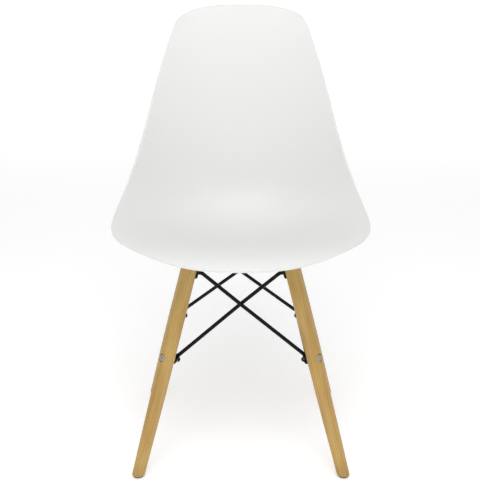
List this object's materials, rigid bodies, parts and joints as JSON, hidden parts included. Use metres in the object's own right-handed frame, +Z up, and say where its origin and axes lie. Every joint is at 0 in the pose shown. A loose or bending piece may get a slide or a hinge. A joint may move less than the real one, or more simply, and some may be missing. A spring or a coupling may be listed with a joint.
{
  "type": "dining chair",
  "caption": "Dining chair: white one-piece moulded bucket shell on splayed round beech legs, braced on every side by crossing black steel rods",
  "frame": {"origin": "on the floor, at the centre of the chair's bounding box", "axes": "+Z up, the sitter faces -Y, +X is toward the right of someone looking at the front of the chair"},
  "size_m": [0.465, 0.5075, 0.8222],
  "materials": {
    "seat_plastic": "smooth satin white injection-moulded polypropylene",
    "beech": "clear-lacquered turned beech with fine straight grain",
    "black_steel": "semi-gloss black powder coat",
    "zinc_steel": "bright zinc-plated steel",
    "black_nut": "black-plated steel",
    "glide_plastic": "dark grey-brown moulded plastic, lightly scuffed",
    "pad_rubber": "matte black rubber",
    "insert_brass": "turned brass"
  },
  "bodies": {
    "root": {"seat_shell": "seat_plastic", "leg_front_left": "beech", "leg_front_right": "beech", "leg_back_left": "beech", "leg_back_right": "beech", "glide_front_left": "glide_plastic", "glide_front_right": "glide_plastic", "glide_back_left": "glide_plastic", "glide_back_right": "glide_plastic", "glide_nails": "zinc_steel", "brace_front_outer": "black_steel", "brace_front_inner": "black_steel", "brace_back_outer": "black_steel", "brace_back_inner": "black_steel", "brace_left_outer": "black_steel", "brace_left_inner": "black_steel", "brace_right_outer": "black_steel", "brace_right_inner": "black_steel", "corner_bracket_front_left": "black_steel", "corner_bracket_front_right": "black_steel", "corner_bracket_back_left": "black_steel", "corner_bracket_back_right": "black_steel", "lower_bolt_front_left": "zinc_steel", "lower_bolt_front_right": "zinc_steel", "lower_bolt_back_left": "zinc_steel", "lower_bolt_back_right": "zinc_steel", "lower_bolt_washers": "zinc_steel", "lower_cap_nut_front_left": "black_nut", "lower_cap_nut_front_right": "black_nut", "lower_cap_nut_back_left": "black_nut", "lower_cap_nut_back_right": "black_nut", "upper_bolt_front_left": "zinc_steel", "upper_bolt_front_right": "zinc_steel", "upper_bolt_back_left": "zinc_steel", "upper_bolt_back_right": "zinc_steel", "upper_bolt_washers": "zinc_steel", "upper_cap_nut_front_left": "black_nut", "upper_cap_nut_front_right": "black_nut", "upper_cap_nut_back_left": "black_nut", "upper_cap_nut_back_right": "black_nut", "mount_pad_front_left": "pad_rubber", "mount_pad_front_right": "pad_rubber", "mount_pad_back_left": "pad_rubber", "mount_pad_back_right": "pad_rubber", "thread_insert_front_left": "insert_brass", "thread_insert_front_right": "insert_brass", "thread_insert_back_left": "insert_brass", "thread_insert_back_right": "insert_brass", "seat_screw_front_left": "zinc_steel", "seat_screw_front_right": "zinc_steel", "seat_screw_back_left": "zinc_steel", "seat_screw_back_right": "zinc_steel", "seat_screw_washers": "zinc_steel"}
  },
  "joints": []
}
